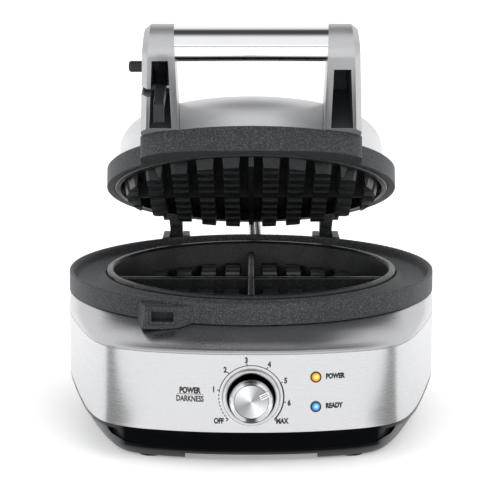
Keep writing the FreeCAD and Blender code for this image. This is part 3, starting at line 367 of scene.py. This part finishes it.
def cast_plate(name, tone, roughness):
    """Non-stick coating on the cooking plates: a fine pebble with a soft sheen."""
    f = Finish(name, slate(tone), roughness=roughness, Specular_IOR_Level=0.42)
    at = f.place()
    pebble = f.noise(at, 780.0, detail=2.0, rough=0.65)
    cloud = f.noise(at, 60.0, detail=4.0)
    f.into(f.ramp(pebble, [(0.38, slate(tone * 0.7)), (0.54, slate(tone)), (0.68, slate(tone * 2.6))]),
           "Base Color")
    f.into(f.spread(cloud, roughness * 0.8, roughness * 1.2, 0.3, 0.7), "Roughness")
    f.bump(pebble, 0.28, 0.08 * MM)
    return f


# Painted reflection round the dial's disc, as brightness against turns clockwise from the bottom: two pale
# fans, two dark ones.
DISC_PAINTED_REFLECTION = ((0.0, 0.72), (0.08, 0.45), (0.17, 0.40), (0.25, 0.62), (0.36, 1.05), (0.43, 1.12), (0.50, 0.80),
             (0.58, 0.42), (0.66, 0.38), (0.75, 0.66), (0.86, 1.05), (0.93, 1.10), (1.0, 0.72))
# Painted reflection on the chrome rim round it: pale, with a short dark patch at the top and at the bottom.
RIM_PAINTED_REFLECTION = ((0.0, 0.10), (0.035, 0.14), (0.06, 0.85), (0.20, 1.10), (0.30, 0.70), (0.42, 0.95), (0.455, 0.30),
            (0.50, 0.06), (0.535, 0.22), (0.57, 0.95), (0.70, 0.75), (0.82, 1.10), (0.94, 0.85), (0.97, 0.14),
            (1.0, 0.10))
# One finish for each material slot of the record.
FINISH = {
    "dark_casting": casting("dark_casting_look", 0.038, 0.48),
    "coated_plate": cast_plate("coated_plate_look", 0.013, 0.34),
    "brushed_band": brushed("brushed_band_look", 0.64, 0.26, (30, 30, 3800), grain=0.03, aniso=0.4,
                            axis="Z", depth=0.0015 * MM),
    "brushed_shoulder": brushed("brushed_shoulder_look", 0.56, 0.30, (1500, 1500, 1500), grain=0.02,
                                depth=0),
    "brushed_dome": brushed("brushed_dome_look", 0.74, 0.42, (22, 2600, 2600), grain=0.03,
                            metallic=0.85),
    "silver_casting": satin_paint("silver_casting_look", 0.52, 0.38),
    "chrome_tube": polished("chrome_tube_look", 0.90, 0.05),
    "black_plastic": tray_plastic("black_plastic_look"),
    "foot_rubber": moulded("foot_rubber_look", (0.018, 0.018, 0.018), 0.8, texture=1500.0),
    "latch_plastic": moulded("latch_plastic_look", (0.020, 0.022, 0.026), 0.40, specular=0.35),
    "knob_metal": spun("knob_metal_look", 0.84, 0.12, 900.0, RIM_PAINTED_REFLECTION),
    "spun_metal": spun("spun_metal_look", 0.86, 0.26, 5200.0, DISC_PAINTED_REFLECTION),
    "pointer_metal": brushed("pointer_metal_look", 0.90, 0.22, (3000, 3000, 60)),
    "bezel_metal": bezel_finish("bezel_metal_look"),
    "lamp_rim": moulded("lamp_rim_look", (0.03, 0.028, 0.028), 0.25),
    "amber_glass": lamp_glass("amber_glass_look", "power_lens", (0.60, 0.16, 0.0), (1.0, 0.47, 0.02),
                              (1.0, 0.86, 0.42)),
    "blue_glass": lamp_glass("blue_glass_look", "ready_lens", (0.01, 0.09, 0.34), (0.06, 0.36, 0.86),
                             (0.62, 0.86, 1.0)),
    "braided_steel": braid_finish("braided_steel_look"),
    "pin_steel": brushed("pin_steel_look", 0.6, 0.28, (40, 2600, 2600)),
    "zinc_steel": brushed("zinc_steel_look", 0.62, 0.34, (500, 500, 500)),
    "gland_rubber": moulded("gland_rubber_look", (0.022, 0.022, 0.023), 0.7, texture=1300.0),
    "element_steel": brushed("element_steel_look", 0.32, 0.5, (600, 600, 600)),
    "reflector_aluminium": brushed("reflector_aluminium_look", 0.72, 0.3, (30, 900, 900)),
    "ceramic_fuse": moulded("ceramic_fuse_look", (0.8, 0.78, 0.72), 0.7),
    "thermostat_plastic": moulded("thermostat_plastic_look", (0.5, 0.44, 0.33), 0.5),
    "board_plastic": moulded("board_plastic_look", (0.03, 0.22, 0.09), 0.45),
    "terminal_plastic": moulded("terminal_plastic_look", (0.76, 0.75, 0.7), 0.45),
}
INK = ink("panel_ink_look", 0.006)
# A dark material that paints the shade inside the arms' slots.
ARM_SLOT_SHADE = moulded("arm_slot_shade_look", (0.040, 0.044, 0.050), 0.45, specular=0.35)
SLOT_OF = {part["node"]: part["material_slot"] for part in frame["record"]["subparts"]}


# ---------------------------------------------------------------- rounded edges on the CAD nodes

# Edge radius by node, in mm.
SMALL_EDGE = 0.25
EDGE = {
    "lid_ring": 0.7, "moat_ring": 0.7, "upper_plate": 0.7, "lower_plate": 0.55,
    "handle_arm_left": 0.6, "handle_arm_right": 0.6,
    "lid_hinge_arm_left": 0.5, "lid_hinge_arm_right": 0.5,
    "hinge_bracket_left": 0.5, "hinge_bracket_right": 0.5,
    "latch_lever": 0.35, "knob": 0.35, "knob_bezel": 0.3, "knob_pointer": 0.2,
}
# Nodes of broad curved sheet, which keep their own shading.
SHEET = {"outer_band", "shoulder_cover", "base_tray", "lid_dome", "handle_tube", "power_lens", "ready_lens",
         "knob_disc"}


def soften(obj, radius):
    """Rounds a CAD node's sharp edges with modifiers, which leave its own mesh as it is."""
    mesh = obj.data
    if "custom_normal" in mesh.attributes:
        mesh.attributes.remove(mesh.attributes["custom_normal"])
    mesh.polygons.foreach_set("use_smooth", [True] * len(mesh.polygons))
    weld = obj.modifiers.new("weld", "WELD")
    weld.merge_threshold = 0.002 * MM
    flat = obj.modifiers.new("flat", "DECIMATE")
    flat.decimate_type = "DISSOLVE"
    flat.angle_limit = math.radians(0.3)
    bevel = obj.modifiers.new("bevel", "BEVEL")
    bevel.width = radius * MM
    bevel.segments = 2
    bevel.limit_method = "ANGLE"
    bevel.angle_limit = math.radians(32)
    bevel.use_clamp_overlap = True
    bevel.harden_normals = False
    normal = obj.modifiers.new("normal", "WEIGHTED_NORMAL")
    normal.weight = 60
    normal.keep_sharp = False


def tree_of(mesh):
    return BVHTree.FromPolygons([v.co.copy() for v in mesh.vertices],
                                [tuple(p.vertices) for p in mesh.polygons])


def paint_slot_shade(obj):
    """Paints shade on the walls inside an arm's slot, which have metal to their left and right: they get a
    dark material as painted shade.
    """
    obj.data.materials.append(ARM_SLOT_SHADE.mat)
    tree = tree_of(obj.data)
    for face in obj.data.polygons:
        at = face.center + face.normal * 0.2 * MM
        sides = [tree.ray_cast(at, Vector((way, 0, 0)), 30 * MM)[0] for way in (-1, 1)]
        if None not in sides:
            face.material_index = 1


for name, obj in NODES.items():
    obj.data.materials.clear()
    obj.data.materials.append(FINISH[SLOT_OF[name]].mat)
    if name not in SHEET:
        soften(obj, EDGE.get(name, SMALL_EDGE))
for name in ("handle_arm_left", "handle_arm_right"):
    paint_slot_shade(NODES[name])


# ---------------------------------------------------------------- print on the front panel

def link_mesh(name, points, faces, mat, smooth=False):
    mesh = bpy.data.meshes.new(name)
    mesh.from_pydata(points, [], faces)
    mesh.materials.append(mat)
    mesh.polygons.foreach_set("use_smooth", [smooth] * len(mesh.polygons))
    mesh.update()
    obj = bpy.data.objects.new(name, mesh)
    bpy.context.scene.collection.objects.link(obj)
    return obj


PRINT_LIFT = 0.06 * MM


def onto(tree, x, z):
    """The point at x, z just in front of the surface that faces the front."""
    hit, _, _, _ = tree.ray_cast(Vector((x, -1.0, z)), Vector((0, 1, 0)))
    if hit is None:
        raise RuntimeError("the print misses the panel")
    return (x, hit.y - PRINT_LIFT, z)


# Height of a capital for a text size of one.
CAP_OF_SIZE = 0.70


class Print:
    """Flat ink shapes gathered in x, z and then laid on a surface."""

    def __init__(self, node):
        self.tree = tree_of(NODES[node].data)
        self.points = []
        self.faces = []

    def add(self, points, faces):
        base = len(self.points)
        self.points += [onto(self.tree, x, z) for x, z in points]
        self.faces += [tuple(base + i for i in face) for face in faces]

    def strip(self, centre_line, width):
        """A line of that width along points in x, z."""
        left, right = [], []
        for i, (x, z) in enumerate(centre_line):
            ax, az = centre_line[max(0, i - 1)]
            bx, bz = centre_line[min(len(centre_line) - 1, i + 1)]
            length = math.hypot(bx - ax, bz - az)
            nx, nz = -(bz - az) / length * width / 2, (bx - ax) / length * width / 2
            left.append((x + nx, z + nz))
            right.append((x - nx, z - nz))
        n = len(centre_line)
        self.add(left + right, [(i, i + 1, n + i + 1, n + i) for i in range(n - 1)])

    def words(self, text, x, z, cap, align, squeeze, weight):
        """Lettering whose capitals are cap high, with its middle at z; weight thickens it."""
        curve = bpy.data.curves.new("letters", "FONT")
        curve.body = text
        curve.size = cap / CAP_OF_SIZE
        curve.align_x = align
        curve.offset = weight
        curve.resolution_u = 4
        obj = bpy.data.objects.new("letters", curve)
        bpy.context.scene.collection.objects.link(obj)
        bpy.context.view_layer.update()
        made = bpy.data.meshes.new_from_object(obj.evaluated_get(bpy.context.evaluated_depsgraph_get()))
        bpy.data.objects.remove(obj)
        flat = [(x + v.co.x * squeeze, z - cap / 2 + v.co.y) for v in made.vertices]
        self.add(flat, [tuple(p.vertices) for p in made.polygons])
        bpy.data.meshes.remove(made)

    def piece(self, name, body):
        """Makes the ink a piece that moves with the body."""
        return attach(link_mesh(name, self.points, self.faces, INK.mat), body)


def on_dial(degrees, radius):
    """A point round the knob: degrees clockwise from the top."""
    a = math.radians(degrees)
    return (radius * math.sin(a), KNOB_Z + radius * math.cos(a))


def arc(start, end, radius, steps):
    """Points round the knob between two angles in degrees."""
    return [on_dial(start + (end - start) * i / steps, radius) for i in range(steps + 1)]


# The scale round the dial: its radius, and the ends and figures in degrees clockwise from the top.
SCALE_R = 21.7 * MM
OFF = -134.5
MAX = 134.4
FIGURES = {"1": -78.0, "2": -42.6, "3": -7.2, "4": 28.2, "5": 63.6, "6": 99.0}
FIGURE_R = SCALE_R + 3.9 * MM
DASHES = 9
DASH_SHARE = 0.6
# Words, x, z, capital height, the side that x gives, width against height, and weight; in mm.
LABELS = (
    ("OFF", -18.4, 31.9, 3.5, "RIGHT", 0.74, 0.28),
    ("MAX", 16.6, 31.8, 3.5, "LEFT", 0.74, 0.28),
    ("POWER", -41.0, 52.4, 3.8, "CENTER", 0.74, 0.32),
    ("DARKNESS", -41.0, 46.7, 3.8, "CENTER", 0.70, 0.19),
    ("POWER", 49.8, 61.6, 3.3, "LEFT", 0.76, 0.32),
    ("READY", 49.8, 41.3, 3.3, "LEFT", 0.76, 0.32),
)
# The line between POWER and DARKNESS, in mm.
RULE_X = (-50.0, -45.5, -41.0, -36.5, -32.0)
RULE_Z = 49.7


def print_scale(panel):
    """Dashed from OFF to 1, then a line that is heavier from 5 to MAX, with a tick at each figure."""
    span = (FIGURES["1"] - OFF) / (DASHES - 1 + DASH_SHARE)
    for i in range(DASHES):
        start = OFF + i * span
        panel.strip(arc(start, start + span * DASH_SHARE, SCALE_R, 4), 0.60 * MM)
    panel.strip(arc(FIGURES["1"], FIGURES["5"], SCALE_R, 64), 0.55 * MM)
    panel.strip(arc(FIGURES["5"], MAX, SCALE_R, 40), 0.95 * MM)
    for figure, degrees in FIGURES.items():
        panel.strip([on_dial(degrees, SCALE_R), on_dial(degrees, SCALE_R + 1.7 * MM)], 0.65 * MM)
        x, z = on_dial(degrees, FIGURE_R)
        panel.words(figure, x, z, 3.6 * MM, "CENTER", 0.80, 0.27 * MM)


def print_arrow(panel, degrees, side):
    """The small bent tick at an end of the scale."""
    x, z = on_dial(degrees, SCALE_R)
    tick = [(x + side * 1.5 * MM, z + 0.9 * MM), (x, z - 0.2 * MM), (x + side * 1.3 * MM, z - 1.3 * MM)]
    panel.strip(tick, 0.75 * MM)


def print_panel():
    panel = Print("outer_band")
    print_scale(panel)
    print_arrow(panel, OFF, -1)
    print_arrow(panel, MAX, 1)
    for text, x, z, cap, align, squeeze, weight in LABELS:
        panel.words(text, x * MM, z * MM, cap * MM, align, squeeze, weight * MM)
    panel.strip([(x * MM, RULE_Z * MM) for x in RULE_X], 0.32 * MM)
    panel.piece("panel_print", "base")


# The two ink lines along the pointer: their distance from its inner and outer ends, and from its middle.
POINTER_MARGIN = (2.2 * MM, 2.4 * MM)
POINTER_SHIFT = 0.62 * MM


def print_pointer():
    pointer = Print("knob_pointer")
    low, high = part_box("knob_pointer")
    angle = math.radians(POINTER_DEG)
    out = Vector((math.sin(angle), 0, math.cos(angle)))
    side = Vector((out.z, 0, -out.x))
    centre = Vector(KNOB_CENTRE)
    reach = [(Vector((x, 0, z)) - centre).dot(out) for x in (low.x, high.x) for z in (low.z, high.z)]
    start = min(reach) + POINTER_MARGIN[0]
    end = max(reach) - POINTER_MARGIN[1]
    for shift in (-POINTER_SHIFT, POINTER_SHIFT):
        line = [centre + out * (start + (end - start) * i / 3) + side * shift for i in range(4)]
        pointer.strip([(p.x, p.z) for p in line], 0.5 * MM)
    pointer.piece("pointer_lines", "knob")


print_panel()
print_pointer()


# ---------------------------------------------------------------- braided leads

LEAD_R = 2.3 * MM
# The middle of each lead at the grommets, and the control points of its run from lid to base, in mm.
LEAD_X = (-0.2, 4.6)
LEAD_ROUTE = ((0.0, 117.5, 128.3), (0.0, 127.2, 124.2), (0.5, 140.0, 117.7), (1.1, 146.5, 108.0),
              (1.3, 147.9, 98.5), (0.9, 147.3, 88.5), (0.0, 147.1, 78.5))
# The braid: strands, points round the tube, the length between its rings and of one full turn, and
# how far its surface sinks between strands as a share of the radius.
STRANDS = 12
AROUND = 60
BRAID_STEP = 0.22 * MM
BRAID_LAY = 9.0 * MM
BRAID_SINK = 0.07


def smooth_line(points):
    """Points along a NURBS spline with the route's control points."""
    curve = bpy.data.curves.new("route", "CURVE")
    curve.dimensions = "3D"
    curve.resolution_u = 10
    spline = curve.splines.new("NURBS")
    spline.points.add(len(points) - 1)
    for spot, p in zip(spline.points, points):
        spot.co = (*p, 1.0)
    spline.order_u = 4
    spline.use_endpoint_u = True
    obj = bpy.data.objects.new("route", curve)
    bpy.context.scene.collection.objects.link(obj)
    bpy.context.view_layer.update()
    made = bpy.data.meshes.new_from_object(obj.evaluated_get(bpy.context.evaluated_depsgraph_get()))
    line = [v.co.copy() for v in made.vertices]
    bpy.data.objects.remove(obj)
    return line


def resample(line, step):
    """The same line with points step apart."""
    out = [line[0].copy()]
    left = step
    for a, b in zip(line, line[1:]):
        length = (b - a).length
        at = left
        while at <= length:
            out.append(a.lerp(b, at / length))
            at += step
        left = at - length
    out.append(line[-1].copy())
    return out


def braid(line):
    """A tube whose surface rises and falls as two sets of strands cross over and under."""
    line = resample(line, BRAID_STEP)
    points = []
    side = Vector((1, 0, 0))
    done = 0.0
    for i, p in enumerate(line):
        ahead = (line[min(i + 1, len(line) - 1)] - line[max(i - 1, 0)]).normalized()
        side = (side - ahead * side.dot(ahead)).normalized()
        other = ahead.cross(side)
        if i:
            done += (p - line[i - 1]).length
        turn = 2 * math.pi * done / BRAID_LAY
        for k in range(AROUND):
            a = 2 * math.pi * k / AROUND
            weave = 0.5 * (1 + math.sin((a + turn) * STRANDS / 2) * math.sin((a - turn) * STRANDS / 2))
            r = LEAD_R * (1 - BRAID_SINK + BRAID_SINK * weave)
            points.append(p + (side * math.cos(a) + other * math.sin(a)) * r)
    return points, tube_faces(len(line))


def tube_faces(rings):
    """Faces of a closed tube of that many rings."""
    faces = []
    for i in range(rings - 1):
        this, after = i * AROUND, (i + 1) * AROUND
        for k in range(AROUND):
            n = (k + 1) % AROUND
            faces.append((this + k, this + n, after + n, after + k))
    last = (rings - 1) * AROUND
    faces.append(tuple(range(AROUND))[::-1])
    faces.append(tuple(range(last, last + AROUND)))
    return faces


def make_leads():
    points = []
    faces = []
    for middle in LEAD_X:
        route = [((middle + x) * MM, y * MM, z * MM) for x, y, z in LEAD_ROUTE]
        more_points, more_faces = braid(smooth_line(route))
        base = len(points)
        points += more_points
        faces += [tuple(base + i for i in face) for face in more_faces]
    leads = link_mesh("braided_leads", points, faces, FINISH["braided_steel"].mat, smooth=True)
    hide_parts("heater_leads")
    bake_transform(leads)


make_leads()


# ---------------------------------------------------------------- floor, light and camera

def stage_plane(name, centre, size, look, turn=(0, 0, 0)):
    """A rectangle that isn't part of the object; turn is in degrees."""
    w = size[0] / 2
    h = size[1] / 2
    obj = link_mesh(name, [(-w, -h, 0), (w, -h, 0), (w, h, 0), (-w, h, 0)], [(0, 1, 2, 3)], look)
    obj.location = centre
    obj.rotation_euler = [math.radians(angle) for angle in turn]
    return obj


def card(name, centre, size, tone, turn):
    """A card that only glossy surfaces see."""
    mat = bpy.data.materials.new(name + "_look")
    mat.use_nodes = True
    mat.node_tree.nodes.clear()
    glow = mat.node_tree.nodes.new("ShaderNodeEmission")
    glow.inputs["Color"].default_value = (tone, tone, tone, 1.0)
    out = mat.node_tree.nodes.new("ShaderNodeOutputMaterial")
    mat.node_tree.links.new(glow.outputs[0], out.inputs["Surface"])
    obj = stage_plane(name, centre, size, mat, turn)
    obj.visible_camera = False
    obj.visible_diffuse = False
    obj.visible_shadow = False
    obj.visible_transmission = False
    obj.visible_volume_scatter = False


def light(name, direction, strength, spread):
    """Broad soft light from one direction, which glossy surfaces don't see."""
    lamp = bpy.data.lights.new(name, "SUN")
    lamp.energy = strength
    lamp.angle = math.radians(spread)
    obj = bpy.data.objects.new(name, lamp)
    obj.rotation_euler = (-Vector(direction)).to_track_quat("-Z", "Y").to_euler()
    obj.visible_glossy = False
    bpy.context.scene.collection.objects.link(obj)


def set_world():
    """White from the horizon up to about 50 degrees, and dark overhead."""
    world = bpy.data.worlds.new("studio")
    bpy.context.scene.world = world
    world.use_nodes = True
    tree = world.node_tree
    back = tree.nodes["Background"]
    coord = tree.nodes.new("ShaderNodeTexCoord")
    part = tree.nodes.new("ShaderNodeSeparateXYZ")
    ramp = tree.nodes.new("ShaderNodeValToRGB")
    tree.links.new(coord.outputs["Generated"], part.inputs[0])
    tree.links.new(part.outputs["Z"], ramp.inputs["Fac"])
    line = ramp.color_ramp.elements
    line[0].position, line[0].color = 0.0, (1.0, 1.0, 1.0, 1.0)
    line[1].position, line[1].color = 1.0, (0.06, 0.06, 0.065, 1.0)
    for where, tone in ((0.78, 0.95), (0.90, 0.42), (0.965, 0.10)):
        line.new(where).color = (tone, tone, tone * 1.02, 1.0)
    tree.links.new(ramp.outputs["Color"], back.inputs["Color"])
    back.inputs["Strength"].default_value = 1.0


def set_floor():
    look = Finish("floor_look", (0.93, 0.93, 0.93), roughness=0.55, Specular_IOR_Level=0.2)
    tones = [(0.3, (0.925, 0.925, 0.925)), (0.7, (0.935, 0.935, 0.935))]
    look.into(look.ramp(look.noise(look.place(), 6.0), tones), "Base Color")
    look.set("Emission Color", (1.0, 1.0, 1.0, 1.0))
    look.set("Emission Strength", 0.30)
    stage_plane("floor", (0, 0, 0), (60, 60), look.mat)


def set_cards():
    """Dark cards that the band and the tray reflect: low and high at each side, and one in front."""
    for side in (-1, 1):
        card("dark_low_%d" % (side + 1), (side * 0.42, -0.135, 0.002), (0.54, 0.11), 0.30, (0, 0, side * 4))
        card("dark_side_%d" % (side + 1), (side * 0.70, -0.150, 0.20), (0.13, 0.42), 0.30, (90, 0, 90))
    card("dark_front", (0, -0.85, 0.115), (1.6, 0.055), 0.06, (90, 0, 0))


# The camera: where it stands, how far it looks down in degrees, and its lens in mm.
CAMERA_PLACE = (-0.00083, -1.5564, 0.4098 + LIFT)
CAMERA_DOWN = 10.63
CAMERA_LENS = 156.84


def set_camera():
    data = bpy.data.cameras.new("camera")
    data.lens = CAMERA_LENS
    data.sensor_width = 36.0
    data.clip_end = 200.0
    camera = bpy.data.objects.new("camera", data)
    camera.location = CAMERA_PLACE
    camera.rotation_euler = (math.radians(90 - CAMERA_DOWN), 0, 0)
    bpy.context.scene.collection.objects.link(camera)
    bpy.context.scene.camera = camera
    bpy.context.scene.view_settings.view_transform = "Standard"


set_floor()
set_world()
light("key", (0.5, -0.55, 1.0), 0.75, 40)
light("fill", (-0.6, -0.5, 0.9), 0.35, 60)
set_cards()
set_camera()
